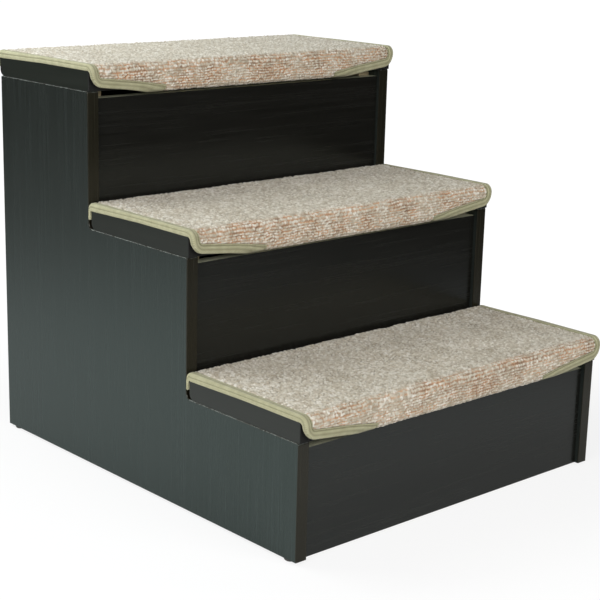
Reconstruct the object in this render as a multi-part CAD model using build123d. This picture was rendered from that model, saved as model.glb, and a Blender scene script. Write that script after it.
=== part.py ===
from build123d import *
import os

# Pet stairs: three carpeted treads on two stepped side panels.
# Sizes in millimetres. X runs across the stairs, the stairs climb towards +Y, and Z is zero at the floor.
# In the functions Y counts from the side panels' front edge. Pieces are written with Y centred.

# Whole stairs
width = 480.0                 # over the side panels, and the length of a tread board
step_run = 184.0
step_rise = 157.5
first_step_height = 130.0     # the side panels' lowest step, above their bottom edge
step_names = ("lower", "middle", "upper")

# Side panels and the band on their edges
panel_thick = 15.0
band_thick = 1.0
band_chamfer = 0.5
notch_radius = 7.0            # hollow corner at the foot of a rise
crest_radius = 2.0            # outer corner at the front of a step

# Tread boards
board_thick = 25.0
nose_out = 2.0                # a board's front stands ahead of the panel's front edge
board_front_top_radius = 4.0
board_front_low_radius = 1.5
board_back_gap = 5.0          # from a board's back to the next rise of the panels
top_board_over = 2.0          # the top board stands out behind the panels
board_back_top_radius = 2.0
board_back_low_radius = 8.0
board_end_chamfer = 0.7

# Risers
riser_thick = 15.0
riser_setback = 5.5
riser_top_gap = 9.0           # slot between a riser and the tread above it
riser_lap = 19.0              # a riser starts this far below the tread in front of it

# Rails across the back
rail_thick = 15.0
rail_height = 60.0
rail_floor_gap = 40.0         # from the panels' bottom edge to the lower rail

# Panel that closes the back, let in between the side panels and pinned to the rails
back_panel_thick = 3.0
back_panel_gap = 0.5          # to the side panels and the top tread
pin_radius = 0.8
pin_head_radius = 2.0
pin_head_height = 1.0
pin_length = 14.0
pin_clear = 0.05
pin_shares = (0.1, 0.3, 0.5, 0.7, 0.9)

# Carpet covers
carpet_gap = 0.3
carpet_nose_gap = 1.0         # before a board's front
carpet_end_over = 1.5         # the cover reaches past a board's ends
carpet_edge_thick = 5.0       # over the bound edge
pile_rise = 1.0               # the pile stands above the bound edge
crest_bend = 5.0              # inner bend over a board's front edge
fold_bend = 4.0               # inner bend where the cover folds under the board
fold_round = 9.0
flap_thick = 4.2              # where the cover hangs over a board's back
flap_lift = 11.0              # from a board's underside to the end of the back flap
cover_back_radius = 6.0
nose_flap_lift = 5.5          # the front flap's end, above the board's underside
nose_flap_drop = 6.5          # the flap's edge falls this much to its knee, and again to the tongue
knee_share = 0.42             # knee of the flap's edge, from the tongue's side to the cover's side edge
nose_flap_radius = 14.0
knee_radius = 30.0
tongue_width = 290.0
tongue_thick = 3.2
tongue_tail = 4.0             # the tongue ends this far behind its strip

# Binding tape round each cover
tape_thick = 1.0
tape_width = 10.0

# Hook and loop strips under the treads
strip_thick = 1.2
strip_depth = 38.0
strip_gap = 5.0               # from a riser's back to the strip
strip_margin = 12.0           # from the tongue's side edge to the strip's end

# Cleats under the treads
cleat_width = 18.0
cleat_height = 25.0
cleat_gap = 0.5

# Countersunk wood screws
screw_head_radius = 4.0
screw_head_height = 2.6
screw_radius = 1.9
screw_clear = 0.1
cleat_screw_bite = 10.0       # how far a cleat's screw goes into the side panel
tread_screw_bite = 15.0       # how far a tread's screw goes into the board
cleat_screw_shares = (0.15, 0.85)
tread_screw_shares = (0.28, 0.72)

# Dowels
dowel_radius = 4.0
dowel_length = 30.0
dowel_in_panel = 10.0
dowel_clear = 0.05
dowel_end_clear = 0.5
riser_dowel_share = 0.75
rail_dowel_share = 0.27

# Cam fittings
cam_radius = 7.5
cam_height = 12.0
cam_from_end = 24.0
cam_slot_width = 3.0
cam_slot_depth = 1.5
cam_slot_length = 9.0
cam_clear = 0.1
cam_hold = 3.0                # how far a bolt's tip goes past the cam's axis
bolt_radius = 3.0
bolt_tip_radius = 2.0
bolt_in_panel = 11.0
riser_cam_share = 0.3
rail_cam_share = 0.73

# Glides
glide_radius = 7.0
glide_height = 3.0
glide_round = 1.0
glide_inset = 16.0            # from a panel's front or back edge
nail_radius = 1.2
nail_length = 10.0
nail_clear = 0.05

cut_overrun = 5.0

# Places worked out from the sizes
step_count = len(step_names)
depth = step_count * step_run
inner_x = width / 2 - panel_thick
cover_side = width / 2 + carpet_end_over
front_reach = nose_out + carpet_nose_gap + carpet_edge_thick + pile_rise
back_reach = top_board_over + carpet_gap + flap_thick
centre_y = (depth + back_reach - front_reach) / 2
strip_start = riser_setback + riser_thick + strip_gap
tongue_end = strip_start + strip_depth + tongue_tail
cleat_start = riser_setback + riser_thick + cleat_gap
cleat_end = step_run - back_panel_thick - rail_thick - cleat_gap


def step_front(step):
    return step * step_run


def step_top(step):
    return glide_height + first_step_height + step * step_rise


def board_back(step):
    last = step == step_count - 1
    return step_front(step + 1) + (top_board_over if last else -board_back_gap)


def block(low, high):
    """Box between two corners"""
    size = [top - bottom for bottom, top in zip(low, high)]
    return Pos(*low) * Box(*size, align=Align.MIN)


def side_profile(face, x_low, x_high):
    """Solid of a face drawn in side view (Y, Z), from one X to another"""
    return extrude(Plane.YZ.offset(x_low) * face, x_high - x_low)


def turned(points):
    """Solid turned about Z from half a section, given as (radius, height)"""
    section = make_face(Polyline(*points, close=True))
    return revolve(Plane.XZ * section, Axis.Z)


# Edge form of the side panels, which the band follows

def stepped_face(inset):
    """Side view of a panel, drawn in by inset along its front, steps and back"""
    points = [(inset, glide_height)]
    radii = [0]
    for step in range(step_count):
        ledge = step_top(step) - inset
        points.append((step_front(step) + inset, ledge))
        radii.append(max(crest_radius - inset, 0))
        if step < step_count - 1:
            points.append((step_front(step + 1) + inset, ledge))
            radii.append(notch_radius + inset)
    points.append((depth - inset, step_top(step_count - 1) - inset))
    radii.append(max(crest_radius - inset, 0))
    points.append((depth - inset, glide_height))
    radii.append(0)
    return make_face(FilletPolyline(*points, radius=radii, close=True))


# Where fittings go. Each cross board has its front, bottom, top and thickness, and the shares of its
# height at which its dowel and its cam sit.

def riser_bottom(step):
    return glide_height if step == 0 else step_top(step - 1) - riser_lap


def riser_top(step):
    return step_top(step) - riser_top_gap


def rail_front():
    return depth - back_panel_thick - rail_thick


def rail_bottoms():
    lower = glide_height + rail_floor_gap
    upper = step_top(step_count - 1) - rail_height
    return {"lower": lower, "upper": upper}


def cross_boards():
    boards = {}
    for step, name in enumerate(step_names):
        front = step_front(step) + riser_setback
        boards["riser_" + name] = (front, riser_bottom(step), riser_top(step), riser_thick,
                                   riser_dowel_share, riser_cam_share)
    for name, low in rail_bottoms().items():
        boards["back_rail_" + name] = (rail_front(), low, low + rail_height, rail_thick,
                                       rail_dowel_share, rail_cam_share)
    return boards


def along_x(shape):
    """Turn a fitting made along Z so that it points to -X, into the left panel"""
    return Rot(0, -90, 0) * shape


def fitting_place(board, share):
    """Where a fitting's axis meets the left panel's inner face"""
    front, low, high, thick = board[:4]
    return (-inner_x, front + thick / 2, low + (high - low) * share)


def both_sides(shapes):
    return list(shapes) + [mirror(shape, about=Plane.YZ) for shape in shapes]


# Dowels

def dowel_form(grow=0.0, end_grow=0.0):
    """Dowel along Z, with zero where it leaves the panel"""
    radius = dowel_radius + grow
    foot = dowel_in_panel - dowel_length - end_grow
    head = dowel_in_panel + end_grow
    return turned([(0, foot), (radius, foot), (radius, head), (0, head)])


def dowels(form):
    places = [fitting_place(board, board[4]) for board in cross_boards().values()]
    return both_sides([Pos(*place) * along_x(form) for place in places])


# Cam fittings

def bolt_form(grow=0.0):
    """Cam bolt along Z: its thread is in the panel (+Z) and its tip in the cam (-Z)"""
    shank_end = -cam_from_end + cam_radius + 2 * cam_clear - grow
    tip_end = -cam_from_end - cam_hold - grow
    head = bolt_in_panel + grow
    tip = bolt_tip_radius + grow
    shank = bolt_radius + grow
    return turned([(0, tip_end), (tip, tip_end), (tip, shank_end), (shank, shank_end), (shank, head),
                   (0, head)])


def bolts(form):
    places = [fitting_place(board, board[5]) for board in cross_boards().values()]
    return both_sides([Pos(*place) * along_x(form) for place in places])


def cam_axis(board):
    """Where a cam's axis meets the back face of its board"""
    x, y, z = fitting_place(board, board[5])
    return Pos(x + cam_from_end, y + board[3] / 2, z)


def cam_form():
    """Round cam along -Y from its board's back face, with a screwdriver slot"""
    cam = Rot(90, 0, 0) * Cylinder(cam_radius, cam_height, align=(Align.CENTER, Align.CENTER, Align.MIN))
    return cam - Box(cam_slot_width, 2 * cam_slot_depth, cam_slot_length)


def cams():
    return both_sides([cam_axis(board) * cam_form() - bolts(bolt_form(cam_clear))
                       for board in cross_boards().values()])


def cam_pockets():
    deep = cam_height + cam_clear
    pocket = Pos(0, -deep, 0) * Rot(90, 0, 0) * Cylinder(
        cam_radius + cam_clear, deep + cut_overrun, align=(Align.CENTER, Align.CENTER, Align.MAX))
    return both_sides([cam_axis(board) * pocket for board in cross_boards().values()])


# Screws

def screw_form(length):
    """Screw along Z, from its head's face at zero"""
    return turned([(0, 0), (screw_head_radius, 0), (screw_radius, screw_head_height),
                   (screw_radius, length), (0, length)])


def screw_hole(length):
    head = screw_head_radius + screw_clear
    shank = screw_radius + screw_clear
    deep = length + screw_clear
    return turned([(0, 0), (head, 0), (shank, screw_head_height), (shank, deep), (0, deep)])


def cleat_screws(form):
    """Screws from the cleats into the left panel"""
    shapes = []
    for step in range(step_count):
        z = step_top(step) - cleat_height / 2
        for share in cleat_screw_shares:
            y = step_front(step) + cleat_start + (cleat_end - cleat_start) * share
            shapes.append(Pos(-inner_x + cleat_width, y, z) * along_x(form))
    return both_sides(shapes)


def tread_screws(form):
    """Screws up through the cleats into the tread boards"""
    shapes = []
    for step in range(step_count):
        for share in tread_screw_shares:
            y = step_front(step) + cleat_start + (cleat_end - cleat_start) * share
            shapes.append(Pos(-inner_x + cleat_width / 2, y, step_top(step) - cleat_height) * form)
    return both_sides(shapes)


cleat_screw_length = cleat_width + cleat_screw_bite
tread_screw_length = cleat_height + tread_screw_bite


# Pins that hold the back panel to the rails

def pin_form(grow=0.0):
    """Pin along Z, from its head's face at zero"""
    head = pin_head_radius + grow
    shank = pin_radius + grow
    length = pin_length + grow
    return turned([(0, 0), (head, 0), (head, pin_head_height), (shank, pin_head_height), (shank, length),
                   (0, length)])


def panel_pins(form):
    pins = []
    for low in rail_bottoms().values():
        for share in pin_shares:
            place = Pos(2 * inner_x * share - inner_x, depth, low + rail_height / 2)
            pins.append(place * Rot(90, 0, 0) * form)
    return pins


# Glides

def glide_places():
    x = -width / 2 + panel_thick / 2
    return [(x, glide_inset, 0), (x, depth - glide_inset, 0)]


def glide():
    edge = glide_radius - glide_round
    return turned([(0, 0), (edge, 0), (glide_radius, glide_round), (glide_radius, glide_height),
                   (nail_radius, glide_height), (nail_radius, glide_height + nail_length),
                   (0, glide_height + nail_length)])


def nail_hole():
    radius = nail_radius + nail_clear
    height = glide_height + nail_length + nail_clear
    return Cylinder(radius, height, align=(Align.CENTER, Align.CENTER, Align.MIN))


def glides(form):
    return both_sides([Pos(*place) * form for place in glide_places()])


# Boards

def left_side_panel():
    panel = side_profile(stepped_face(band_thick), -width / 2, -inner_x)
    panel -= dowels(dowel_form(dowel_clear, dowel_end_clear))
    panel -= bolts(bolt_form(cam_clear))
    panel -= cleat_screws(screw_hole(cleat_screw_length))
    panel -= glides(nail_hole())
    return panel


def left_edge_band():
    """Band along the panel's front, steps and back, with its two long corners broken"""
    whole = side_profile(stepped_face(0), -width / 2, -inner_x)
    rims = [edge for face in (whole.faces().sort_by(Axis.X)[0], whole.faces().sort_by(Axis.X)[-1])
            for edge in face.edges() if edge.center().Z > glide_height]
    whole = chamfer(rims, band_chamfer)
    return whole - side_profile(stepped_face(band_thick), -width / 2, -inner_x)


def cross_board(front, low, high, thick):
    board = block((-inner_x, front, low), (inner_x, front + thick, high))
    board -= dowels(dowel_form(dowel_clear, dowel_end_clear))
    board -= bolts(bolt_form(cam_clear))
    board -= cam_pockets()
    board -= panel_pins(pin_form(pin_clear))
    return board


def back_panel():
    side = inner_x - back_panel_gap
    top = step_top(step_count - 1) - back_panel_gap
    panel = block((-side, depth - back_panel_thick, glide_height), (side, depth, top))
    return panel - panel_pins(pin_form(pin_clear))


def board_face(step):
    """Side view of a tread board with its rounded edges"""
    low = step_top(step)
    high = low + board_thick
    back = board_back(step)
    front = step_front(step) - nose_out
    outline = FilletPolyline(
        (front, low), (back, low), (back, high), (front, high), close=True,
        radius=[board_front_low_radius, board_back_low_radius, board_back_top_radius, board_front_top_radius])
    return make_face(outline)


def tread_board(step):
    board = side_profile(board_face(step), -width / 2, width / 2)
    ends = board.faces().sort_by(Axis.X)
    board = chamfer(ends[0].edges() + ends[-1].edges(), board_end_chamfer)
    return board - tread_screws(screw_hole(tread_screw_length))


def left_cleat(step):
    low = (-inner_x, step_front(step) + cleat_start, step_top(step) - cleat_height)
    high = (-inner_x + cleat_width, step_front(step) + cleat_end, step_top(step))
    cleat = block(low, high)
    cleat -= cleat_screws(screw_hole(cleat_screw_length))
    cleat -= tread_screws(screw_hole(tread_screw_length))
    return cleat


# Carpet covers. A cover's skin is how deep a layer lies below the bound edge's surface,
# and its edge is how far the layer ends inside the cover's outline.

def cover_face(step, skin, edge, rise):
    """Side view of a cover: tongue, nose, top and back flap"""
    low = step_top(step)
    top = low + board_thick
    front = step_front(step) - nose_out - carpet_nose_gap
    back = board_back(step)
    inner = carpet_gap + skin
    thick = carpet_edge_thick - skin + rise
    tongue_top = low - 2 * strip_thick - skin
    tongue_low = low - 2 * strip_thick - tongue_thick + skin
    end = step_front(step) + tongue_end - edge
    flap_end = low + flap_lift + edge
    flap_out = back + carpet_gap + flap_thick - skin
    corners = [
        ((end, tongue_top), 0),
        ((front - skin, tongue_top), fold_bend + skin),
        ((front - skin, top + inner), crest_bend + skin),
        ((back + inner, top + inner), board_back_top_radius + inner),
        ((back + inner, flap_end), 0),
        ((flap_out, flap_end), 0),
        ((flap_out, top + carpet_gap + thick), cover_back_radius - skin),
        ((front - thick, top + carpet_gap + thick), crest_bend + thick),
        ((front - thick, tongue_low), fold_round - skin),
        ((end, tongue_low), 0),
    ]
    points, radii = zip(*corners)
    return make_face(FilletPolyline(*points, radius=list(radii), close=True))


def flap_cut(step, edge):
    """What the front flap's edge and the tongue's sides leave off, on the right"""
    low = step_top(step)
    side = cover_side - edge
    root = tongue_width / 2 - edge
    end_z = low + nose_flap_lift + edge
    knee_z = end_z - nose_flap_drop
    root_z = knee_z - nose_flap_drop
    floor_z = low - board_thick
    over_x = cover_side + cut_overrun
    corner = max(nose_flap_radius - edge, 0)
    knee_x = root + (side - root) * knee_share
    outline = FilletPolyline((root, floor_z), (root, root_z), (knee_x, knee_z), (side, end_z),
                             (side, low + board_thick), (over_x, low + board_thick), (over_x, floor_z),
                             radius=[0, 0, knee_radius, corner, 0, 0, 0], close=True)
    fold = step_front(step) - nose_out - carpet_nose_gap + fold_bend - min(edge, tape_thick)
    front = step_front(step) - front_reach - cut_overrun
    tongue_back = step_front(step) + tongue_end + cut_overrun
    flap = extrude(Plane.XZ.offset(-fold) * make_face(outline), fold - front)
    return flap + block((root, fold, floor_z), (over_x, tongue_back, low))


def cover_layer(step, skin, edge, rise=0.0):
    side = cover_side - edge
    layer = side_profile(cover_face(step, skin, edge, rise), -side, side)
    cut = flap_cut(step, edge)
    return layer - cut - mirror(cut, about=Plane.YZ)


def cover_pieces(step):
    """The carpet with its thin bound rim, and the tape folded round that rim"""
    whole = cover_layer(step, 0, 0)
    rim = cover_layer(step, tape_thick, tape_thick)
    pile = cover_layer(step, 0, tape_width, pile_rise)
    carpet = rim + pile
    tape = whole - rim - cover_layer(step, 0, tape_width)
    return carpet, tape


def strip(step, top):
    half = tongue_width / 2 - strip_margin
    start = step_front(step) + strip_start
    return block((-half, start, top - strip_thick), (half, start + strip_depth, top))


# Writing the pieces

def write(name, shapes):
    shapes = shapes if isinstance(shapes, list) else [shapes]
    solids = [solid for shape in shapes for solid in shape.solids()]
    placed = [Pos(0, -centre_y, 0) * solid for solid in solids]
    export_step(placed[0] if len(placed) == 1 else Compound(placed), f"parts/{name}.step")


def write_pair(name, left_piece):
    write("left_" + name, left_piece)
    write("right_" + name, mirror(left_piece, about=Plane.YZ))


def main():
    os.makedirs("parts", exist_ok=True)
    write_pair("side_panel", left_side_panel())
    write_pair("edge_band", left_edge_band())
    for name, board in cross_boards().items():
        write(name, cross_board(*board[:4]))
    write("back_panel", back_panel())
    for step, name in enumerate(step_names):
        write("tread_board_" + name, tread_board(step))
        write_pair("cleat_" + name, left_cleat(step))
        carpet, tape = cover_pieces(step)
        write("carpet_" + name, carpet)
        write("carpet_binding_" + name, tape)
        write("hook_strip_" + name, strip(step, step_top(step)))
        write("loop_strip_" + name, strip(step, step_top(step) - strip_thick))
    write("dowels", dowels(dowel_form()))
    write("cam_bolts", bolts(bolt_form()))
    write("cam_housings", cams())
    write("cleat_screws", cleat_screws(screw_form(cleat_screw_length)))
    write("tread_screws", tread_screws(screw_form(tread_screw_length)))
    write("panel_pins", panel_pins(pin_form()))
    write("glides", glides(glide()))


main()
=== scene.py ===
import math

import bpy
import numpy as np
from mathutils import Matrix, Vector, geometry


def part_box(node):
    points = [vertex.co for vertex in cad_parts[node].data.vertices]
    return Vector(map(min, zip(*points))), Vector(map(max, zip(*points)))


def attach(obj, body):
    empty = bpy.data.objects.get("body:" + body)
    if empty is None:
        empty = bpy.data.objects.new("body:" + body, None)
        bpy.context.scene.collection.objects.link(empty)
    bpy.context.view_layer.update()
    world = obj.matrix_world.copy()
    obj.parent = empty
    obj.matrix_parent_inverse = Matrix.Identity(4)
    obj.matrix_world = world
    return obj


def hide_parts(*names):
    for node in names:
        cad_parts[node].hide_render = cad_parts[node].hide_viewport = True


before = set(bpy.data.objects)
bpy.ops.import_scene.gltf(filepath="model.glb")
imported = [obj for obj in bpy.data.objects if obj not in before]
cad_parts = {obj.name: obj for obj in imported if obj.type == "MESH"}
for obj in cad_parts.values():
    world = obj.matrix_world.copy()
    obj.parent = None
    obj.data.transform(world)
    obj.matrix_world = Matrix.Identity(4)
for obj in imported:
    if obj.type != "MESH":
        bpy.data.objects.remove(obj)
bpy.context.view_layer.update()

MM = 0.001
STEPS = ("lower", "middle", "upper")
SIDES = ("left", "right")

# Camera, as the photograph was taken
CAMERA_PLACE = (-1.219, -1.34475, 0.665)
CAMERA_TURN = math.radians(-42.36)
CAMERA_DOWN = math.radians(14.74)
CAMERA_ROLL = math.radians(1.48)
CAMERA_LENS = 91.62
CAMERA_CLIP = (0.05, 60.0)
SENSOR = 36.0

# Area lights: name, place, size, power in watts and colour
WHITE = (1.0, 1.0, 1.0)
LIGHT_TARGET = (0.0, 0.0, 0.25)
LIGHTS = (("top", (-0.5, 0.6, 1.08), (0.9, 0.9), 8.6, (0.94, 1.0, 1.0)),
          ("front", (0.3, -2.6, 1.5), (1.8, 1.4), 44.0, WHITE),
          ("left", (-1.7, -0.7, 0.85), (1.0, 1.0), 18.0, WHITE))
WORLD_LEVEL = 0.12

# Floor, in metres: the middle of the pool of light painted on its colour, from where to where that painted
# light fades, and how light its colour is there. To the camera it glows white. Near the object part of the
# real floor shows through the glow, with the object's shadow.
FLOOR_REACH = 12.0
FLOOR_MIDDLE = (-0.5, 0.7, 0.0)
FLOOR_FADE = (1.5, 2.1)
FLOOR_PAINTED_LIGHT = (0.86, 0.04)
FLOOR_GLOW = 1.05
GLOW_NEAR_SHARE = 0.78
GLOW_FULL = (0.42, 0.75)

# Carpet covers, in metres
GAP = 0.3 * MM                    # between a board and its cover
NOSE_GAP = 1.9 * MM               # before a board's front
BACKING = 2.0 * MM                # height at which the cover keeps its length when it bends
CREST_BEND = 5.0 * MM             # the underside's bends, from front to back
FOLD_BEND = 4.0 * MM
BACK_BEND = 2.3 * MM
BEND_SAMPLES = 16
WAY_SAMPLES = 400
EDGE_SAMPLES = 24
BACK_SQUEEZE_START = 0.25         # share of the back bend after which the cover is squeezed
BACK_FLAP_LIFT = 11.0 * MM
STRIP_MARGIN = 12.0 * MM          # from the loop strip's end to the tongue's side edge
TONGUE_TAIL = 4.0 * MM
TAPE_WIDTH = 10.0 * MM
FRONT_FLAP_LIFT = 5.5 * MM
FRONT_FLAP_DROP = 6.5 * MM
KNEE_SHARE = 0.42
CORNER_RADIUS = 14.0 * MM
KNEE_RADIUS = 30.0 * MM
FLAP_SLANT = 5.0 * MM             # how far the front flap's side edges draw in towards its end
SLANT_REACH = 60.0 * MM           # and how far from the edge that is felt
RIM_INSET = 1.8 * MM              # the cover's thin rim inside the tape
RIM_SKIN = 1.5 * MM

# Loop pile
CELL = 1.2 * MM
NOSE_CELL = 0.85 * MM
HIDDEN_CELL = 5.0 * MM
LINING_CELL = 12.0 * MM
LOOP_PITCH_X = 3.5 * MM
LOOP_PITCH_S = 3.2 * MM
LOOP_RADIUS_X = 2.0 * MM
LOOP_RADIUS_S = 1.7 * MM
LOOP_DROP = 2.3 * MM              # from a loop's top to the ground between loops
LOOP_JITTER_X = 0.85 * MM
LOOP_JITTER_S = 0.7 * LOOP_JITTER_X
LOOP_UNEVEN = 0.5 * MM
LOOP_TURN = 0.7                   # most that a loop turns out of its row, in radians
CREST_TURN_SHARE = 0.45           # and the share of it left at the crest
CREST_TURN_REACH = 12.0 * MM
ROW_WANDER = 1.1 * MM
ROW_WANDER_CELL = 16.0 * MM
SWELL = 0.4 * MM
SWELL_CELL = 22.0 * MM
SPARE_LOOPS = 2
NOSE_OPENING = 1.3                # rows of loops are this much narrower than their pitch on the nose
NOSE_FADE = (-2.0 * MM, 6.0 * MM)       # between these ways s the nose's rows close up
PILE_EDGE_ROUND = 2.2 * MM
CORNER_COLUMNS = 8

# Stitches along the tape's inner edge
STITCH_PITCH = 3.2 * MM
STITCH_LENGTH = 2.3 * MM
STITCH_RADIUS = 0.32 * MM
STITCH_INSET = 8.4 * MM
STITCH_HEIGHT = 4.55 * MM
STITCH_BULGE = 0.1 * MM
STITCH_SINK = 0.25 * MM
STITCH_SIDES = 5
STITCH_SHARES = ((-0.5, 0.0), (-0.3, 1.0), (0.3, 1.0), (0.5, 0.0))      # (share of length, of radius)

# Section of the folded tape, as (from the cover's edge, height), in mm. It has a fold on its end face and a
# stitched groove near the pile. Along the board's ends its lip hangs past the board's edge, and towards the
# back corners its rim sags.
TAPE_OUTSIDE = ((10.0, 0.3), (5.0, 0.3), (2.2, 0.3), (1.38, 0.3), (1.25, 0.35), (0.9, 0.45), (0.45, 0.7),
                (0.15, 1.2), (0.0, 1.9), (0.25, 2.6), (0.75, 3.0), (0.4, 3.5), (0.2, 4.3), (0.5, 5.2),
                (1.3, 5.8), (2.8, 6.0), (4.6, 5.8), (6.4, 5.9), (7.5, 5.6), (8.0, 4.8), (8.4, 4.5),
                (8.8, 4.8), (9.4, 5.2), (9.9, 5.2), (10.15, 4.6))
TAPE_INSIDE = ((9.2, 3.7), (5.0, 4.1), (2.3, 4.0), (1.7, 3.4), (1.7, 2.0), (2.3, 1.35), (5.0, 1.2),
               (10.0, 1.2))
GROOVE_INSET = (7.7, 9.0)
# Insets where the tape's folds and groove get a painted shade
SHADED_CREASE_INSETS = (0.75, 4.6, 8.0, 8.4, 8.8, 10.15)
LIP_INSET = 1.3
LIP_HEIGHT = 3.0
SAG_INSET = 5.0

# What the tape's section does on its way round the cover. The shares are for the ways s at the fold, the
# crest, the top's start, its middle, the back bend's start, just below it, and where the lip has ended.
PUCKER = 0.12 * MM
LIP_HANG = 2.6 * MM
LIP_SHARES = (0.0, 0.5, 1.0, 1.0, 1.2, 0.2, 0.0)
RIM_SAG = 2.0 * MM
SAG_SHARES = (0.0, 0.0, 0.0, 0.0, 1.0, 0.1, 0.0)
BELOW_CORNER = 2.5 * MM
LIP_FADE = 4.0 * MM
END_MARGIN = 0.5 * MM
NOSE_SHADE_SHARE = 0.28                # painted shade: how much of the folds' painted shade the tape has all over the nose

# Looks of the laminated boards
FINE = {"x": (12.0, 700.0, 700.0), "y": (700.0, 12.0, 700.0), "z": (700.0, 700.0, 12.0)}
BROAD = {"x": (5.0, 190.0, 190.0), "y": (190.0, 5.0, 190.0), "z": (190.0, 190.0, 5.0)}
RAW_BOARD = ((0.50, 0.50, 0.34), (0.78, 0.78, 0.58))
# Painted highlight along the edge bands' top edges: its reach and colour
HIGHLIGHT_HEIGHT = 1.2 * MM
HIGHLIGHT_COLOUR = (0.15, 0.168, 0.155)
# Painted shade, near black, on the tread boards' front faces, and their roughness there
FRONT_SHADE_COLOUR = (0.004, 0.004, 0.0035)
DULL_ROUGHNESS = 0.8

NOISE_CELLS = 64                  # size of the table behind value_noise


def spread(start, end, step):
    """Even places from start to end, about a step apart"""
    return np.linspace(start, end, max(int(math.ceil(abs(end - start) / step)), 1) + 1)


def rounded(points, radii, count):
    """Samples along a line of points whose inner corners are rounded, count to each run and each arc"""
    points = [np.array(point, float) for point in points]
    stops, arcs = [points[0]], []
    for before, corner, after, radius in zip(points, points[1:], points[2:], radii):
        into = (corner - before) / np.linalg.norm(corner - before)
        out = (after - corner) / np.linalg.norm(after - corner)
        half_turn = math.acos(np.clip(into @ out, -1, 1)) / 2
        reach = radius * math.tan(half_turn)
        stops += [corner - into * reach, corner + out * reach]
        inward = (out - into) / np.linalg.norm(out - into)
        centre = corner + inward * radius / math.cos(half_turn)
        arcs.append((centre, radius))
    stops.append(points[-1])
    samples = []
    for index in range(len(stops) - 1):
        share = np.linspace(0, 1, count, endpoint=False)[:, None]
        run = stops[index] + (stops[index + 1] - stops[index]) * share
        if index % 2:
            centre, radius = arcs[index // 2]
            spoke = run - centre
            run = centre + spoke / np.linalg.norm(spoke, axis=1)[:, None] * radius
        samples.append(run)
    return np.vstack(samples + [stops[-1][None]])


def smooth(share):
    """A share from 0 to 1 that starts and ends softly"""
    return share * share * (3 - 2 * share)


def value_noise(x, y, cell, seed):
    """Smooth noise from -1 to 1 with blots about a cell wide"""
    table = np.random.default_rng(seed).uniform(-1, 1, (NOISE_CELLS, NOISE_CELLS))
    x, y = x / cell, y / cell
    column, row = np.floor(x).astype(int), np.floor(y).astype(int)
    across, along = smooth(x - column), smooth(y - row)

    def along_row(number):
        here, there = (table[(column + step) % NOISE_CELLS, number % NOISE_CELLS] for step in (0, 1))
        return here * (1 - across) + there * across

    return along_row(row) * (1 - along) + along_row(row + 1) * along


def bent_line(corners, radii):
    """Rows of (way, y, z, normal y, normal z) along a line that bends to the right at its corners.

    The way is measured on the line's left, at the backing's height.
    """
    corners = [np.array(corner, float) for corner in corners]
    rows, stops, way, place = [], [], 0.0, corners[0]
    for number, corner in enumerate(corners[1:]):
        ahead = (corner - place) / np.linalg.norm(corner - place)
        normal = np.array([-ahead[1], ahead[0]])
        radius = radii[number] if number < len(radii) else 0.0
        leave = corner - ahead * radius
        rows.append((way, *place, *normal))
        way += np.linalg.norm(leave - place)
        rows.append((way, *leave, *normal))
        stops.append(way)
        if number == len(radii):
            break
        centre = leave - normal * radius
        for turn in np.linspace(0, math.pi / 2, BEND_SAMPLES + 1)[1:]:
            spoke = normal * math.cos(turn) + ahead * math.sin(turn)
            rows.append((way + (radius + BACKING) * turn, *(centre + spoke * radius), *spoke))
        way += (radius + BACKING) * math.pi / 2
        stops.append(way)
        place = centre + ahead * radius
    return np.array(rows), stops


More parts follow.
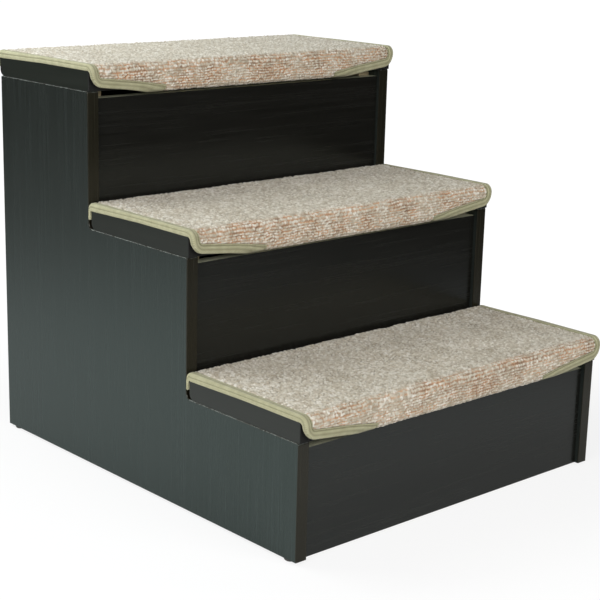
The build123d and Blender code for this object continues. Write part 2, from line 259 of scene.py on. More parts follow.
class Cover:
    """One carpet cover's flat pattern and how it wraps its tread board.

    A flat point is (x, s). The way s is zero where the flat top starts behind the crest, grows over the
    top to the back flap, and is negative down the nose and along the tongue.
    """

    def __init__(self, step):
        board_low, board_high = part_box("tread_board_" + step)
        carpet_low, carpet_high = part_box("carpet_" + step)
        strip_low, strip_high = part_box("loop_strip_" + step)
        tape_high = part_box("carpet_binding_" + step)[1]
        self.side = tape_high.x
        self.tongue_side = strip_high.x + STRIP_MARGIN
        self.low_z, self.top_z = board_low.z, board_high.z
        self.pile_height = carpet_high.z - self.top_z - GAP
        self.edge_height = tape_high.z - self.top_z - GAP
        front, back, top = board_low.y - NOSE_GAP, board_high.y + GAP, self.top_z + GAP
        corners = [(strip_high.y + TONGUE_TAIL, strip_low.z), (front, strip_low.z), (front, top), (back, top),
                   (back, self.low_z + BACK_FLAP_LIFT)]
        rows, stops = bent_line(corners, (FOLD_BEND, CREST_BEND, BACK_BEND))
        rows[:, 0] -= stops[3]
        self.line = rows.T
        stops = [0 - stops[3]] + [stop - stops[3] for stop in stops]
        self.tongue_end, self.fold_end, self.fold_start, self.crest = stops[:4]
        self.top_length, self.back_start, self.back_end = stops[5:]
        self.squeeze_tongue = (strip_low.z - carpet_low.z) / self.pile_height
        self.squeeze_back = (carpet_high.y - board_high.y - GAP) / self.pile_height
        self.inner_edge = self.front_edge(TAPE_WIDTH)
        self.outer_edge = self.front_edge(0.0)
        self.root = self.inner_edge[0, 1]

    def squeeze(self, s):
        """How much thinner the cover is where it is pressed"""
        start = self.fold_start + FOLD_BEND
        under = np.clip((start - s) / (start - self.fold_end), 0, 1)
        bend = (s - self.top_length) / (self.back_start - self.top_length)
        back = np.clip((bend - BACK_SQUEEZE_START) / (1 - BACK_SQUEEZE_START), 0, 1)
        return 1 - (1 - self.squeeze_tongue) * smooth(under) - (1 - self.squeeze_back) * smooth(back)

    def wrap(self, x, s, height):
        """Places of flat points, that high above the cover's underside"""
        x, s, height = np.broadcast_arrays(x, s, height)
        height = height * self.squeeze(s)
        down = np.clip(s / self.fold_start, 0, 1)
        beside = np.clip(1 - (self.side - abs(x)) / SLANT_REACH, 0, 1)
        x = x - np.sign(x) * FLAP_SLANT * down * beside
        y, z, normal_y, normal_z = (np.interp(s, self.line[0], values) for values in self.line[1:])
        size = np.hypot(normal_y, normal_z)
        return np.stack([x, y + normal_y / size * height, z + normal_z / size * height], axis=-1)

    def flat_way(self, z):
        """The way s at which the edge's face on the nose has that height"""
        ways = np.linspace(self.fold_end, self.crest, WAY_SAMPLES)
        heights = self.wrap(np.zeros(WAY_SAMPLES), ways, self.edge_height)[:, 2]
        below = np.clip(heights[0] - z, 0, None)
        return np.interp(z, heights, ways) - below

    def front_edge(self, inset):
        """The front flap's edge on the right, from the tongue's side to the end of its round corner"""
        side = self.side - inset
        root = self.tongue_side - inset
        end_z = self.low_z + FRONT_FLAP_LIFT + inset
        knee_z = end_z - FRONT_FLAP_DROP
        radius = CORNER_RADIUS - inset
        points = [(root, knee_z - FRONT_FLAP_DROP), (root + (side - root) * KNEE_SHARE, knee_z),
                  (side, end_z), (side, end_z + 2 * radius)]
        line = rounded(points, (KNEE_RADIUS, radius), EDGE_SAMPLES)[:-EDGE_SAMPLES]
        return np.column_stack([line[:, 0], self.flat_way(line[:, 1])])

    def outer_of(self, x, s, kind):
        """The flat point on the cover's outline that matches one on the tape's inner edge"""
        sign = -1 if x < 0 else 1
        x = abs(x)
        inner, outer = self.inner_edge, self.outer_edge
        if kind == "flap":
            share = np.interp(x, inner[:, 0], np.arange(len(inner)))
            places = np.arange(len(outer))
            return sign * np.interp(share, places, outer[:, 0]), np.interp(share, places, outer[:, 1])
        if kind == "tongue side":
            ways = (self.tongue_end + TAPE_WIDTH, self.root), (self.tongue_end, outer[0, 1])
            return sign * self.tongue_side, np.interp(s, *ways)
        if kind == "tongue end":
            return sign * x * self.tongue_side / (self.tongue_side - TAPE_WIDTH), self.tongue_end
        if kind == "side":
            ways = (inner[-1, 1], self.back_end - TAPE_WIDTH), (outer[-1, 1], self.back_end)
            return sign * self.side, np.interp(s, *ways)
        return sign * x * self.side / (self.side - TAPE_WIDTH), self.back_end


class PileGrid:
    """The pile's flat grid, clipped to the tape's inner edge"""

    def __init__(self, cover):
        self.cover = cover
        root_x, side_x = cover.tongue_side - TAPE_WIDTH, cover.side - TAPE_WIDTH
        radius = CORNER_RADIUS - TAPE_WIDTH
        turns = np.linspace(0, math.pi / 2, CORNER_COLUMNS + 1)
        half = np.concatenate([spread(0, root_x, CELL), spread(root_x, side_x - radius, CELL)[1:],
                               side_x - radius + radius * np.sin(turns[1:])])
        self.x = np.concatenate([-half[:0:-1], half])
        front_end = cover.tongue_end + TAPE_WIDTH
        back_end = cover.back_end - TAPE_WIDTH
        stops = [front_end, cover.fold_end, cover.root, 0, cover.top_length, cover.back_start, back_end]
        cells = [HIDDEN_CELL, NOSE_CELL, NOSE_CELL, CELL, NOSE_CELL, CELL]
        runs = [spread(low, high, cell)[1:] for low, high, cell in zip(stops, stops[1:], cells)]
        self.s = np.concatenate([[front_end]] + runs)
        self.last = len(self.s) - 1
        self.root_row = int(np.argmin(abs(self.s - cover.root)))
        self.left_root = int(np.argmin(abs(self.x + root_x)))
        self.right_root = int(np.argmin(abs(self.x - root_x)))
        edge = np.interp(abs(self.x), *cover.inner_edge.T)
        on_tongue = abs(self.x) <= root_x + 1e-9
        self.front = np.where(on_tongue, front_end, edge)
        first = np.searchsorted(self.s, self.front + 1e-9) - 1
        self.first = np.where(on_tongue, 0, np.clip(first, 0, self.last))
        self.slope = np.gradient(np.interp(abs(self.x), *cover.inner_edge.T), self.x)
        self.index = -np.ones((len(self.x), len(self.s)), int)
        self.points = []
        for column, x in enumerate(self.x):
            for row in range(self.first[column], self.last + 1):
                self.index[column, row] = len(self.points)
                self.points.append((x, max(self.s[row], self.front[column])))
        self.points = np.array(self.points)

    def faces(self):
        found = []
        for column in range(len(self.x) - 1):
            first_here = self.first[column]
            first_next = self.first[column + 1]
            if column == self.right_root:
                first_here = self.root_row
            if column + 1 == self.left_root:
                first_next = self.root_row
            for row in range(min(first_here, first_next), self.last):
                here = [self.index[column, max(number, first_here)] for number in (row, row + 1)]
                there = [self.index[column + 1, max(number, first_next)] for number in (row, row + 1)]
                corners = list(dict.fromkeys([here[0], there[0], there[1], here[1]]))
                if len(corners) > 2:
                    found.append(corners)
        return found

    def border(self):
        """The pile's outline in order, as (point's number, kind of stretch)"""
        loop = []
        for column in range(self.left_root):
            loop.append((column, self.first[column], "flap"))
        for row in range(self.root_row, 0, -1):
            loop.append((self.left_root, row, "tongue side"))
        for column in range(self.left_root, self.right_root + 1):
            loop.append((column, 0, "tongue end"))
        for row in range(1, self.root_row + 1):
            loop.append((self.right_root, row, "tongue side"))
        for column in range(self.right_root + 1, len(self.x)):
            loop.append((column, self.first[column], "flap"))
        last_column = len(self.x) - 1
        for row in range(self.first[last_column] + 1, self.last):
            loop.append((last_column, row, "side"))
        for column in range(last_column, -1, -1):
            loop.append((column, self.last, "back"))
        for row in range(self.last - 1, self.first[0], -1):
            loop.append((0, row, "side"))
        return [(self.index[column, row], kind) for column, row, kind in loop]

    def edge_distance(self):
        """How far each point is from the tape's inner edge"""
        x, s = self.points.T
        cover = self.cover
        side = cover.side - TAPE_WIDTH - abs(x)
        back = cover.back_end - TAPE_WIDTH - s
        edge = np.interp(abs(x), *cover.inner_edge.T)
        slope = np.interp(x, self.x, self.slope)
        front = (s - edge) / np.hypot(1, slope)
        tongue = np.minimum(cover.tongue_side - TAPE_WIDTH - abs(x), s - cover.tongue_end - TAPE_WIDTH)
        front = np.where(abs(x) <= cover.tongue_side - TAPE_WIDTH, np.maximum(front, tongue), front)
        return np.clip(np.minimum(np.minimum(side, back), front), 0, None)


def loop_pile(cover, points, seed):
    """Height of each point of the pile under its loops' tops, the shade of its loop, and how deep it lies"""
    x, s = points.T
    stops = [cover.fold_end, cover.fold_start, *NOSE_FADE]
    opening = np.interp(s, stops, [1.0, NOSE_OPENING, NOSE_OPENING, 1.0])
    columns = int(2 * cover.side / LOOP_PITCH_X) + 3 * SPARE_LOOPS
    rows = int((cover.back_end - cover.tongue_end) / LOOP_PITCH_S) + 3 * SPARE_LOOPS
    random = np.random.default_rng(seed)
    shift = random.uniform(0, 1, (rows, 1))
    move_x = random.uniform(-1, 1, (rows, columns)) * LOOP_JITTER_X
    move_s = random.uniform(-1, 1, (rows, columns)) * LOOP_JITTER_S
    tops = random.normal(0, 0.5, (rows, columns)).clip(-1, 1) * LOOP_UNEVEN
    shades = random.uniform(0, 1, (rows, columns))
    turns = random.uniform(-1, 1, (rows, columns)) * LOOP_TURN
    s = s + ROW_WANDER * value_noise(x, s, ROW_WANDER_CELL, seed + 3)
    stops = [cover.fold_start, cover.crest, 0, CREST_TURN_REACH]
    turn_share = np.interp(s, stops, [1.0, CREST_TURN_SHARE, CREST_TURN_SHARE, 1.0])
    row = np.floor((s - cover.tongue_end) / LOOP_PITCH_S).astype(int) + SPARE_LOOPS
    best = np.full(len(x), -LOOP_DROP)
    shade = np.full(len(x), 0.5)
    for next_row in (-1, 0, 1):
        here = np.clip(row + next_row, 0, rows - 1)
        place = (x + cover.side) / LOOP_PITCH_X + SPARE_LOOPS - shift[here, 0]
        column = np.floor(place).astype(int)
        for next_column in (-1, 0, 1):
            there = np.clip(column + next_column, 0, columns - 1)
            centre_x = (there - SPARE_LOOPS + 0.5 + shift[here, 0]) * LOOP_PITCH_X - cover.side
            centre_x = centre_x + move_x[here, there]
            centre_s = (here - SPARE_LOOPS + 0.5) * LOOP_PITCH_S + cover.tongue_end + move_s[here, there]
            turn = turns[here, there] * turn_share
            along = (x - centre_x) * np.cos(turn) + (s - centre_s) * np.sin(turn)
            across = (s - centre_s) * np.cos(turn) - (x - centre_x) * np.sin(turn)
            near = (along / LOOP_RADIUS_X) ** 2 + (across * opening / LOOP_RADIUS_S) ** 2
            height = tops[here, there] - LOOP_DROP * (1 - np.sqrt(np.clip(1 - near, 0, 1)))
            higher = height > best
            best = np.where(higher, height, best)
            shade = np.where(higher, shades[here, there], shade)
    best = best + SWELL * value_noise(x, s, SWELL_CELL, seed + 7)
    return best, shade, np.clip(-best / LOOP_DROP, 0, 1), (opening - 1) / (NOSE_OPENING - 1)


def mesh_object(name, vertices, faces, materials, face_materials=None, attributes=None):
    mesh = bpy.data.meshes.new(name)
    mesh.from_pydata([tuple(point) for point in vertices], [], faces)
    mesh.polygons.foreach_set("use_smooth", np.ones(len(mesh.polygons), bool))
    for material in materials:
        mesh.materials.append(material)
    if face_materials is not None:
        mesh.polygons.foreach_set("material_index", face_materials)
    for label, values in (attributes or {}).items():
        attribute = mesh.attributes.new(label, "FLOAT", "POINT")
        attribute.data.foreach_set("value", np.asarray(values, np.float32))
    mesh.validate()
    piece = bpy.data.objects.new(name, mesh)
    bpy.context.scene.collection.objects.link(piece)
    return piece


def ring_faces(first, second, flip=False):
    """Quads between two closed rings of point numbers"""
    count = len(first)
    found = []
    for here in range(count):
        there = (here + 1) % count
        quad = [first[here], first[there], second[there], second[here]]
        found.append(quad[::-1] if flip else quad)
    return found


def lining(cover, border_points):
    """Flat triangles that fill the border, on its points and on a wide grid of inner ones"""
    side, root_x = cover.side - TAPE_WIDTH, cover.tongue_side - TAPE_WIDTH
    across = spread(-side + HIDDEN_CELL, side - HIDDEN_CELL, LINING_CELL)
    front_end = cover.tongue_end + TAPE_WIDTH + HIDDEN_CELL
    stops = [front_end, cover.fold_end, 0, cover.top_length, cover.back_start]
    cells = [LINING_CELL, 2 * NOSE_CELL, LINING_CELL, 2 * NOSE_CELL]
    along = np.concatenate([spread(low, high, cell)[:-1] for low, high, cell in zip(stops, stops[1:], cells)])
    inner = []
    for s in along:
        for x in across:
            on_tongue = abs(x) < root_x - CELL
            front = np.interp(abs(x), *cover.inner_edge.T) + 2 * CELL
            if s > front or (on_tongue and s < cover.root) or (on_tongue and s > cover.tongue_end):
                inner.append((x, s))
    points = [Vector(point) for point in list(border_points) + inner]
    outline = list(range(len(border_points)))
    result = geometry.delaunay_2d_cdt(points, [], [outline], 1, 1e-9, True)
    return result[0], result[2], result[3]


def carpet_cover(step, seed, materials):
    """The carpet: pile on top, a thin rim that the tape takes in, and a lining against the board"""
    cover = Cover(step)
    grid = PileGrid(cover)
    under, shade, deep, opening = loop_pile(cover, grid.points, seed)
    distance = grid.edge_distance()
    rim_height = cover.edge_height - RIM_SKIN
    climb = np.clip(distance / PILE_EDGE_ROUND, 0, 1)
    climb = np.sqrt(1 - (1 - climb) ** 2)
    height = rim_height + (cover.pile_height + under - rim_height) * climb
    vertices = [cover.wrap(grid.points[:, 0], grid.points[:, 1], height)]
    faces = grid.faces()
    pile_faces = len(faces)

    border = grid.border()
    ring = [number for number, kind in border]
    inner = grid.points[ring]
    outer = np.array([cover.outer_of(*grid.points[number], kind) for number, kind in border])
    rim = outer + (inner - outer) * RIM_INSET / TAPE_WIDTH
    count = len(grid.points)
    rings = [ring]
    for flat, level in ((rim, rim_height), (rim, RIM_SKIN), (inner, RIM_SKIN), (inner, 0.0)):
        vertices.append(cover.wrap(flat[:, 0], flat[:, 1], level))
        rings.append(list(range(count, count + len(flat))))
        count += len(flat)
    for first, second in zip(rings, rings[1:]):
        faces += ring_faces(first, second, flip=True)

    flat, triangles, sources = lining(cover, inner)
    numbers = []
    extra = []
    for point, source in zip(flat, sources):
        if source and source[0] < len(inner):
            numbers.append(rings[-1][source[0]])
        else:
            numbers.append(count + len(extra))
            extra.append(tuple(point))
    if extra:
        extra = np.array(extra)
        vertices.append(cover.wrap(extra[:, 0], extra[:, 1], 0.0))
    faces += [[numbers[corner] for corner in triangle][::-1] for triangle in triangles]

    vertices = np.vstack(vertices)
    plain = len(vertices) - len(grid.points)
    attributes = {
        "loop_shade": np.concatenate([shade, np.full(plain, 0.5)]),
        "loop_depth": np.concatenate([deep, np.ones(plain)]),
        "row_opening": np.concatenate([opening, np.zeros(plain)]),
    }
    kinds = np.ones(len(faces), int)
    kinds[:pile_faces] = 0
    piece = mesh_object("carpet_cover_" + step, vertices, faces, materials, kinds, attributes)
    return cover, inner, outer, piece


def folded_tape(step, cover, inner, outer, material):
    """The tape: its section, carried round the cover's outline"""
    steps = np.linalg.norm(np.diff(np.vstack([outer, outer[:1]]), axis=0), axis=1)
    way = np.concatenate([[0], np.cumsum(steps)[:-1]])
    turns = round(steps.sum() / STITCH_PITCH)
    wave = np.cos(way / steps.sum() * turns * 2 * math.pi)

    # The lip goes straight past the board's back corner, so its points in the bend move to the bend's ends
    s = outer[:, 1]
    bend_start, bend_end = cover.top_length, cover.back_start + BELOW_CORNER
    on_end = abs(outer[:, 0]) > cover.side - END_MARGIN
    in_bend = on_end & (s > bend_start) & (s < bend_end)
    nearer_end = np.where(s < (bend_start + bend_end) / 2, bend_start, bend_end)
    lip_s = np.where(in_bend, nearer_end, s)

    stops = [cover.fold_start, cover.crest, 0, bend_start / 2, bend_start, bend_end, bend_end + LIP_FADE]
    hang = LIP_HANG * on_end * np.interp(lip_s, stops, LIP_SHARES)
    sag = RIM_SAG * on_end * np.interp(s, stops, SAG_SHARES)
    lip_sag = RIM_SAG * on_end * np.interp(lip_s, stops, SAG_SHARES)
    # Painted shade over the nose's tape, full below the crest and fading out where the top starts
    nose_shade = np.interp(s, [cover.crest, 0], [NOSE_SHADE_SHARE, 0.0])
    vertices, faces, rings, ring_shades = [], [], [], []
    for number, (inset, height) in enumerate(TAPE_OUTSIDE + TAPE_INSIDE):
        outside = number < len(TAPE_OUTSIDE)
        flat = outer + (inner - outer) * inset * MM / TAPE_WIDTH
        level = height * MM
        if outside and GROOVE_INSET[0] < inset < GROOVE_INSET[1]:
            level = level + wave * PUCKER
        lip = 1 - height / LIP_HEIGHT if inset < LIP_INSET and height < LIP_HEIGHT else 0.0
        if outside and (inset < LIP_INSET or height > LIP_HEIGHT):
            level = level - (sag + (lip_sag - sag) * lip) * max(1 - inset / SAG_INSET, 0)
        if lip:
            level = level - hang * lip
            flat = np.column_stack([flat[:, 0], flat[:, 1] + (lip_s - s) * lip])
        rings.append(list(range(number * len(flat), (number + 1) * len(flat))))
        vertices.append(cover.wrap(flat[:, 0], flat[:, 1], level))
        # Each ring's painted shade: full at the folds and groove, and the nose's share everywhere else
        ring_shades.append(float(inset in SHADED_CREASE_INSETS) * (1 - nose_shade) + nose_shade)
    for first, second in zip(rings, rings[1:] + rings[:1]):
        faces += ring_faces(first, second)
    return mesh_object("folded_binding_" + step, np.vstack(vertices), faces, [material],
                       attributes={"painted_crease_shade": np.concatenate(ring_shades)})


def stitches(step, cover, inner, outer, material):
    """Thread that shows between the needle's holes, all round the tape"""
    line = outer + (inner - outer) * STITCH_INSET / TAPE_WIDTH
    line = np.vstack([line, line[:1]])
    steps = np.linalg.norm(np.diff(line, axis=0), axis=1)
    way = np.concatenate([[0], np.cumsum(steps)])
    count = round(way[-1] / STITCH_PITCH)
    middles = (np.arange(count) + 0.5) / count * way[-1]
    vertices, faces = [], []
    angles = np.arange(STITCH_SIDES) / STITCH_SIDES * 2 * math.pi
    for middle in middles:
        start = len(vertices)
        places = [middle + share * STITCH_LENGTH for share, _ in STITCH_SHARES]
        flat = np.column_stack([np.interp(places, way, line[:, 0]), np.interp(places, way, line[:, 1])])
        along = flat[-1] - flat[0]
        along = along / max(np.linalg.norm(along), 1e-9)
        side = np.array([-along[1], along[0]])
        for (_, size), point in zip(STITCH_SHARES, flat):
            if not size:
                vertices.append((*point, STITCH_HEIGHT - STITCH_SINK))
                continue
            radius = STITCH_RADIUS * size
            level = STITCH_HEIGHT + STITCH_BULGE * size
            for angle in angles:
                offset = side * radius * math.cos(angle)
                vertices.append((*(point + offset), level + radius * math.sin(angle)))
        first = [start + 1 + corner for corner in range(STITCH_SIDES)]
        second = [corner + STITCH_SIDES for corner in first]
        end = start + 1 + 2 * STITCH_SIDES
        for here in range(STITCH_SIDES):
            there = (here + 1) % STITCH_SIDES
            faces.append([start, first[there], first[here]])
            faces.append([first[here], first[there], second[there], second[here]])
            faces.append([end, second[here], second[there]])
    vertices = np.array(vertices)
    places = cover.wrap(vertices[:, 0], vertices[:, 1], vertices[:, 2])
    return mesh_object("binding_stitches_" + step, places, faces, [material])


# Materials

def add(tree, kind, inputs=None, **settings):
    """A shader node with its settings, its fixed inputs and its linked inputs"""
    node = tree.nodes.new(kind)
    for name, value in settings.items():
        setattr(node, name, value)
    for name, value in (inputs or {}).items():
        if isinstance(value, bpy.types.NodeSocket):
            tree.links.new(value, node.inputs[name])
        else:
            node.inputs[name].default_value = value
    return node


def ramp(tree, factor, stops):
    node = add(tree, "ShaderNodeValToRGB", {"Fac": factor})
    band = node.color_ramp
    while len(band.elements) < len(stops):
        band.elements.new(1.0)
    for element, (place, colour) in zip(band.elements, stops):
        element.position = place
        element.color = (*colour, 1.0)
    return node.outputs["Color"]


def mix(tree, factor, first, second):
    node = add(tree, "ShaderNodeMix", data_type="RGBA")
    for socket, value in ((node.inputs[0], factor), (node.inputs[6], first), (node.inputs[7], second)):
        if isinstance(value, bpy.types.NodeSocket):
            tree.links.new(value, socket)
        elif isinstance(value, tuple):
            socket.default_value = (*value, 1.0)
        else:
            socket.default_value = value
    return node.outputs[2]


def span(tree, value, from_low, from_high, to_low, to_high):
    node = add(tree, "ShaderNodeMapRange", {"Value": value, "From Min": from_low, "From Max": from_high,
                                            "To Min": to_low, "To Max": to_high})
    return node.outputs["Result"]


def noise(tree, place, scale, detail=4.0, rough=0.55):
    node = add(tree, "ShaderNodeTexNoise", {"Vector": place, "Scale": scale, "Detail": detail,
                                            "Roughness": rough})
    return node.outputs["Fac"]


def stretched(tree, scale=(1.0, 1.0, 1.0)):
    coordinates = add(tree, "ShaderNodeTexCoord")
    mapping = add(tree, "ShaderNodeMapping", {"Vector": coordinates.outputs["Object"], "Scale": scale})
    return mapping.outputs["Vector"]


def bump(tree, height, distance, strength=1.0):
    node = add(tree, "ShaderNodeBump", {"Height": height, "Distance": distance, "Strength": strength})
    return node.outputs["Normal"]


def attribute(tree, name):
    return add(tree, "ShaderNodeAttribute", attribute_name=name).outputs["Fac"]


def axis_of(tree, measure, axis):
    """One axis of the surface's Position or Normal"""
    vector = add(tree, "ShaderNodeNewGeometry").outputs[measure]
    return add(tree, "ShaderNodeSeparateXYZ", {0: vector}).outputs[axis]


def calculate(tree, operation, *values):
    node = add(tree, "ShaderNodeMath", dict(enumerate(values)), operation=operation)
    return node.outputs[0]


def new_material(name):
    material = bpy.data.materials.new(name)
    material.use_nodes = True
    tree = material.node_tree
    return material, tree, tree.nodes["Principled BSDF"]


def finish_shader(tree, shader, colour, roughness, normal=None, **sockets):
    for name, value in (("Base Color", colour), ("Roughness", roughness), ("Normal", normal)):
        if isinstance(value, bpy.types.NodeSocket):
            tree.links.new(value, shader.inputs[name])
        elif value is not None:
            shader.inputs[name].default_value = value
    for name, value in sockets.items():
        shader.inputs[name.replace("_", " ")].default_value = value


def arris_highlight(tree):
    """Where a painted highlight lies along the bands on the side panels' top edges, one stretch under each
    tread board
    """
    place = add(tree, "ShaderNodeNewGeometry").outputs["Position"]
    total = 0.0
    for step in STEPS:
        low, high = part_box("tread_board_" + step)
        beside = calculate(tree, "COMPARE", axis_of(tree, "Position", "Z"), low.z, HIGHLIGHT_HEIGHT)
        under = calculate(tree, "LESS_THAN", axis_of(tree, "Position", "Y"), high.y)
        total = calculate(tree, "MULTIPLY_ADD", beside, under, total)
    # Noise breaks the painted highlight into dashes
    dashes = noise(tree, place, 260.0, 3.0)
    return calculate(tree, "MULTIPLY", total, span(tree, dashes, 0.42, 0.62, 0.0, 0.75))


def laminate(name, grain, dark, light, specular, tint=WHITE, rough=(0.22, 0.28), cut=None, lit_arris=False,
             dull_and_shaded_front=False):
    """Printed wood laminate with fine streaks along an axis. cut is the axis whose faces are raw board."""
    material, tree, shader = new_material(name)
    fine = noise(tree, stretched(tree, FINE[grain]), 1.0, 4.0, 0.6)
    broad = noise(tree, stretched(tree, BROAD[grain]), 1.0, 3.0, 0.55)
    both = calculate(tree, "ADD", fine, broad)
    colour = ramp(tree, span(tree, both, 0.7, 1.3, 0.0, 1.0), [(0.0, dark), (1.0, light)])
    roughness = span(tree, both, 0.8, 1.2, *rough)
    if cut is not None:
        raw = noise(tree, stretched(tree), 900.0, 3.0)
        fibre = ramp(tree, raw, list(zip((0.3, 0.7), RAW_BOARD)))
        facing = calculate(tree, "ABSOLUTE", axis_of(tree, "Normal", cut))
        colour = mix(tree, calculate(tree, "GREATER_THAN", facing, 0.9), colour, fibre)
    # Painted highlight along the bands' top edges, under the tread boards
    if lit_arris:
        colour = mix(tree, arris_highlight(tree), colour, HIGHLIGHT_COLOUR)
    # The boards' front faces get a painted shade, near black, and a duller finish
    if dull_and_shaded_front:
        forward = span(tree, axis_of(tree, "Normal", "Y"), -0.4, -0.8, 0.0, 1.0)
        colour = mix(tree, forward, colour, FRONT_SHADE_COLOUR)
        roughness = mix(tree, forward, roughness, (DULL_ROUGHNESS,) * 3)
    pores = bump(tree, fine, 0.00005, 0.5)
    finish_shader(tree, shader, colour, roughness, pores, Specular_IOR_Level=specular,
                  Specular_Tint=(*tint, 1.0))
    return material


def pile_material():
    material, tree, shader = new_material("loop_pile")
    shade, deep, opening = (attribute(tree, name) for name in ("loop_shade", "loop_depth", "row_opening"))
    plain = stretched(tree)
    yarn = ramp(tree, shade, [(0.0, (0.42, 0.36, 0.27)), (0.3, (0.60, 0.53, 0.42)),
                              (0.65, (0.73, 0.68, 0.575)), (1.0, (0.90, 0.86, 0.78))])
    speck = noise(tree, plain, 900.0, 2.0)
    yarn = mix(tree, span(tree, speck, 0.35, 0.7, 0.0, 0.35), yarn, (0.50, 0.43, 0.32))
    streak = noise(tree, stretched(tree, (14.0, 26.0, 20.0)), 1.0, 3.0)
    yarn = mix(tree, span(tree, streak, 0.35, 0.7, 0.0, 0.25), yarn, (0.45, 0.41, 0.32))
    patchy = noise(tree, stretched(tree, (55.0, 90.0, 150.0)), 1.0, 2.0)
    parted = calculate(tree, "MULTIPLY", opening, span(tree, patchy, 0.38, 0.62, 0.0, 1.0))
    ground = mix(tree, opening, (0.35, 0.30, 0.22), (0.40, 0.30, 0.21))
    ground = mix(tree, parted, ground, (0.60, 0.35, 0.20))
    colour = mix(tree, span(tree, deep, 0.3, 0.8, 0.0, 1.0), yarn, ground)
    # Painted shade, dark brown, in the deepest gaps between the nose's opened rows
    nose_gap_shade = calculate(tree, "MULTIPLY", opening, span(tree, deep, 0.75, 1.0, 0.0, 0.75))
    colour = mix(tree, nose_gap_shade, colour, (0.20, 0.11, 0.06))
    fuzz = noise(tree, plain, 1600.0, 3.0)
    normal = bump(tree, fuzz, 0.0006, 0.6)
    finish_shader(tree, shader, colour, 0.95, normal, Sheen_Weight=0.2, Sheen_Roughness=0.5,
                  Specular_IOR_Level=0.15)
    return material


def woven(name, dark, light, thread):
    """Twill cloth: fine diagonal ribs, a little uneven in colour"""
    material, tree, shader = new_material(name)
    place = stretched(tree)
    ribs = add(tree, "ShaderNodeTexWave", {"Vector": place, "Scale": 1.0 / thread / 3, "Distortion": 1.2,
                                           "Detail": 1.0, "Detail Scale": 2.0}, bands_direction="DIAGONAL")
    uneven = noise(tree, place, 120.0, 4.0)
    both = mix(tree, 0.6, ribs.outputs["Color"], uneven)
    colour = ramp(tree, both, [(0.2, dark), (0.75, light)])
    # Painted shade, dark olive, along the tape's folds and groove and over its nose
    fold_shade = span(tree, attribute(tree, "painted_crease_shade"), 0.0, 1.0, 0.0, 0.55)
    colour = mix(tree, fold_shade, colour, (0.11, 0.10, 0.05))
    normal = bump(tree, ribs.outputs["Fac"], 0.0002, 0.7)
    finish_shader(tree, shader, colour, 0.85, normal, Sheen_Weight=0.15, Specular_IOR_Level=0.2)
    return material


def backing_material():
    material, tree, shader = new_material("carpet_backing")
    place = stretched(tree)
    checks = add(tree, "ShaderNodeTexVoronoi", {"Vector": place, "Scale": 420.0}, distance="CHEBYCHEV")
    colour = ramp(tree, checks.outputs["Distance"], [(0.1, (0.30, 0.26, 0.20)), (0.8, (0.46, 0.41, 0.33))])
    normal = bump(tree, checks.outputs["Distance"], 0.0004, 0.6)
    finish_shader(tree, shader, colour, 0.95, normal, Specular_IOR_Level=0.1)
    return material


def hook_and_loop():
    material, tree, shader = new_material("hook_and_loop_tape")
    place = stretched(tree)
    cells = add(tree, "ShaderNodeTexVoronoi", {"Vector": place, "Scale": 900.0})
    colour = ramp(tree, cells.outputs["Distance"], [(0.0, (0.06, 0.06, 0.06)), (0.6, (0.015, 0.015, 0.016))])
    normal = bump(tree, cells.outputs["Distance"], 0.0006, 0.9)
    finish_shader(tree, shader, colour, 0.9, normal, Sheen_Weight=0.3)
    return material


def raw_wood(grain):
    material, tree, shader = new_material("raw_wood_" + grain)
    fine = noise(tree, stretched(tree, FINE[grain]), 1.0, 6.0, 0.7)
    colour = ramp(tree, fine, [(0.3, (0.36, 0.27, 0.15)), (0.6, (0.52, 0.43, 0.26)),
                               (0.85, (0.60, 0.51, 0.34))])
    finish_shader(tree, shader, colour, span(tree, fine, 0.3, 0.7, 0.6, 0.8), bump(tree, fine, 0.0002, 0.6))
    return material


def plated_steel():
    material, tree, shader = new_material("zinc_plated_steel")
    cloud = noise(tree, stretched(tree), 220.0, 5.0)
    colour = ramp(tree, cloud, [(0.3, (0.50, 0.49, 0.46)), (0.7, (0.68, 0.68, 0.66))])
    finish_shader(tree, shader, colour, span(tree, cloud, 0.3, 0.7, 0.28, 0.45), bump(tree, cloud, 0.00005),
                  Metallic=1.0)
    return material


def nylon():
    material, tree, shader = new_material("dark_nylon")
    grain = noise(tree, stretched(tree), 1500.0, 2.0)
    colour = ramp(tree, grain, [(0.3, (0.05, 0.045, 0.04)), (0.7, (0.085, 0.075, 0.07))])
    finish_shader(tree, shader, colour, span(tree, grain, 0.3, 0.7, 0.45, 0.6), bump(tree, grain, 0.0001))
    return material


# Camera, light and floor

def set_camera():
    turn, down, roll = CAMERA_TURN, CAMERA_DOWN, CAMERA_ROLL
    ahead = Vector((-math.sin(turn) * math.cos(down), math.cos(turn) * math.cos(down), -math.sin(down)))
    right = Vector((math.cos(turn), math.sin(turn), 0.0))
    up = right.cross(ahead)
    across = math.cos(roll) * right + math.sin(roll) * up
    upward = -math.sin(roll) * right + math.cos(roll) * up
    data = bpy.data.cameras.new("camera")
    data.sensor_width = SENSOR
    data.lens = CAMERA_LENS
    data.clip_start, data.clip_end = CAMERA_CLIP
    camera = bpy.data.objects.new("camera", data)
    bpy.context.scene.collection.objects.link(camera)
    matrix = Matrix((across, upward, -ahead)).transposed().to_4x4()
    matrix.translation = Vector(CAMERA_PLACE)
    camera.matrix_world = matrix
    bpy.context.scene.camera = camera


def area_light(name, place, size, power, colour):
    data = bpy.data.lights.new(name, "AREA")
    data.shape = "RECTANGLE"
    data.size, data.size_y = size
    data.energy = power
    data.color = colour
    light = bpy.data.objects.new(name, data)
    light.location = place
    light.rotation_euler = (Vector(LIGHT_TARGET) - Vector(place)).to_track_quat("-Z", "Y").to_euler()
    bpy.context.scene.collection.objects.link(light)


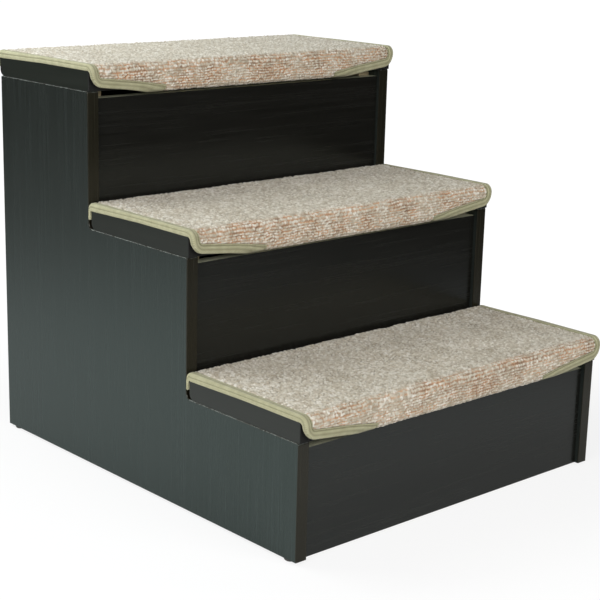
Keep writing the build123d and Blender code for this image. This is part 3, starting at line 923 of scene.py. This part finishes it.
def set_world(level):
    """White behind the object, and a dim studio for the light that falls on it"""
    world = bpy.data.worlds.new("studio")
    bpy.context.scene.world = world
    world.use_nodes = True
    tree = world.node_tree
    background = tree.nodes["Background"]
    background.inputs["Color"].default_value = (*WHITE, 1.0)
    strength = span(tree, add(tree, "ShaderNodeLightPath").outputs["Is Camera Ray"], 0.0, 1.0, level, 1.0)
    tree.links.new(strength, background.inputs["Strength"])


def set_floor():
    """White sweep with a pool of light painted on its colour round the object, dark far off, and plain white
    to the camera with the object's shadow in it"""
    material, tree, shader = new_material("studio_floor")
    place = add(tree, "ShaderNodeNewGeometry").outputs["Position"]
    from_middle = add(tree, "ShaderNodeVectorMath", {0: place, 1: FLOOR_MIDDLE}, operation="DISTANCE")
    away = from_middle.outputs["Value"]
    # Painted pool of light: the floor's colour is light near its middle and dark far off
    painted_pool = span(tree, away, *FLOOR_FADE, *FLOOR_PAINTED_LIGHT)
    colour = add(tree, "ShaderNodeCombineColor", {"Red": painted_pool, "Green": painted_pool, "Blue": painted_pool}).outputs[0]
    finish_shader(tree, shader, colour, 0.9, Specular_IOR_Level=0.0)
    glow = add(tree, "ShaderNodeEmission", {"Color": (*WHITE, 1.0), "Strength": FLOOR_GLOW})
    near = add(tree, "ShaderNodeVectorMath", {0: place}, operation="LENGTH").outputs["Value"]
    plain = span(tree, near, *GLOW_FULL, GLOW_NEAR_SHARE, 1.0)
    camera_ray = add(tree, "ShaderNodeLightPath").outputs["Is Camera Ray"]
    share = calculate(tree, "MULTIPLY", camera_ray, plain)
    both = add(tree, "ShaderNodeMixShader", {0: share, 1: shader.outputs[0], 2: glow.outputs[0]})
    tree.links.new(both.outputs[0], tree.nodes["Material Output"].inputs["Surface"])
    reach = FLOOR_REACH
    corners = [(-reach, -reach, 0), (reach, -reach, 0), (reach, reach, 0), (-reach, reach, 0)]
    floor = mesh_object("floor", corners, [[0, 1, 2, 3]], [material])


def set_light():
    for values in LIGHTS:
        area_light(*values)
    set_world(WORLD_LEVEL)


def paint(node, material):
    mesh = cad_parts[node].data
    mesh.materials.clear()
    mesh.materials.append(material)


def dress_rigid():
    side = laminate("side_laminate", "z", (0.017, 0.0195, 0.017), (0.024, 0.0275, 0.025), 0.49,
                    (0.66, 1.0, 0.94))
    # Edge bands, with a painted highlight along their top edges
    band = laminate("edge_band", "z", (0.011, 0.010, 0.006), (0.016, 0.0145, 0.009), 0.32,
                    (1.0, 1.0, 0.9), lit_arris=True)
    riser = laminate("riser_laminate", "x", (0.0055, 0.0052, 0.004), (0.0095, 0.0088, 0.007), 0.46,
                     (0.9, 1.0, 0.99), cut="Z")
    # Tread boards, with a painted shade on their front faces
    tread = laminate("tread_laminate", "y", (0.015, 0.0178, 0.014), (0.018, 0.0212, 0.017), 0.35,
                     rough=(0.3, 0.33), dull_and_shaded_front=True)
    cleat, dowel = raw_wood("y"), raw_wood("x")
    strip, steel, plastic = hook_and_loop(), plated_steel(), nylon()
    for name in SIDES:
        paint(name + "_side_panel", side)
        paint(name + "_edge_band", band)
    for name in STEPS:
        paint("riser_" + name, riser)
        paint("tread_board_" + name, tread)
        paint("hook_strip_" + name, strip)
        paint("loop_strip_" + name, strip)
        for side_name in SIDES:
            paint(side_name + "_cleat_" + name, cleat)
    for name in ("back_rail_lower", "back_rail_upper", "back_panel"):
        paint(name, riser)
    paint("dowels", dowel)
    for name in ("cam_bolts", "cam_housings", "cleat_screws", "tread_screws", "panel_pins"):
        paint(name, steel)
    paint("glides", plastic)


def dress_covers():
    pile, backing = pile_material(), backing_material()
    tape = woven("khaki_twill", (0.33, 0.315, 0.182), (0.58, 0.56, 0.365), 1.0 * MM)
    thread = woven("khaki_thread", (0.24, 0.23, 0.13), (0.38, 0.36, 0.22), 0.5 * MM)
    for number, step in enumerate(STEPS):
        cover, inner, outer, carpet = carpet_cover(step, 20 + number, [pile, backing])
        binding = folded_tape(step, cover, inner, outer, tape)
        seam = stitches(step, cover, inner, outer, thread)
        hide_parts("carpet_" + step)
        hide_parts("carpet_binding_" + step)
        for piece in (carpet, binding, seam):
            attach(piece, "root")


bpy.context.scene.view_settings.view_transform = "Standard"
set_camera()
set_light()
set_floor()
dress_rigid()
dress_covers()
